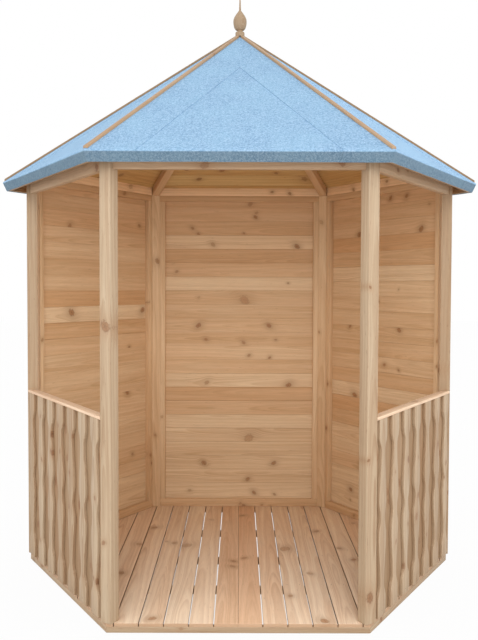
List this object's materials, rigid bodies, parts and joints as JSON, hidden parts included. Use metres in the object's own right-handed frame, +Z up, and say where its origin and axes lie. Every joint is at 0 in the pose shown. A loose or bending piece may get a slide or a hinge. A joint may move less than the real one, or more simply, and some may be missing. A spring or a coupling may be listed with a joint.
{
  "type": "garden gazebo",
  "caption": "Hexagonal open-front timber garden gazebo with boarded back walls, low boarded picket balustrades, a plank floor and a felted pyramid roof with a finial.",
  "frame": {"origin": "centre of the hexagonal floor at ground level, under the roof's apex", "axes": "+Z up, the open front faces -Y, +X to the right of someone looking in from the front"},
  "size_m": [2.35, 2.0352, 2.801],
  "materials": {
    "planed_timber": "planed, unfinished",
    "wall_boards": "planed, unfinished, knotty",
    "deck_boards": "planed, unfinished",
    "roof_boards": "planed, unfinished",
    "turned_timber": "turned, unfinished",
    "roof_felt": "mineral chippings on bitumen felt"
  },
  "bodies": {
    "root": {"apex_block": "planed_timber", "back_left_wall_boards": "wall_boards", "back_left_wall_rails": "planed_timber", "back_left_wall_stiles": "planed_timber", "back_right_wall_boards": "wall_boards", "back_right_wall_rails": "planed_timber", "back_right_wall_stiles": "planed_timber", "back_wall_boards": "wall_boards", "back_wall_rails": "planed_timber", "back_wall_stiles": "planed_timber", "balustrade_inner_boards": "planed_timber", "balustrade_rails": "planed_timber", "base_rim_back": "planed_timber", "base_rim_back_left": "planed_timber", "base_rim_back_right": "planed_timber", "base_rim_front": "planed_timber", "base_rim_front_left": "planed_timber", "base_rim_front_right": "planed_timber", "cap_rails": "planed_timber", "corner_post_back_left": "planed_timber", "corner_post_back_right": "planed_timber", "corner_post_front_left": "planed_timber", "corner_post_front_right": "planed_timber", "corner_post_left": "planed_timber", "corner_post_right": "planed_timber", "deck_boards_left": "deck_boards", "deck_boards_right": "deck_boards", "fascia_boards": "planed_timber", "finial": "turned_timber", "floor_bearers": "planed_timber", "header_boards": "planed_timber", "hip_battens": "planed_timber", "hip_rafters": "planed_timber", "left_pickets": "planed_timber", "right_pickets": "planed_timber", "roof_boards_back": "roof_boards", "roof_boards_back_left": "roof_boards", "roof_boards_back_right": "roof_boards", "roof_boards_front": "roof_boards", "roof_boards_front_left": "roof_boards", "roof_boards_front_right": "roof_boards", "roof_felt_back": "roof_felt", "roof_felt_back_left": "roof_felt", "roof_felt_back_right": "roof_felt", "roof_felt_front": "roof_felt", "roof_felt_front_left": "roof_felt", "roof_felt_front_right": "roof_felt", "roof_plates": "planed_timber"}
  },
  "joints": []
}
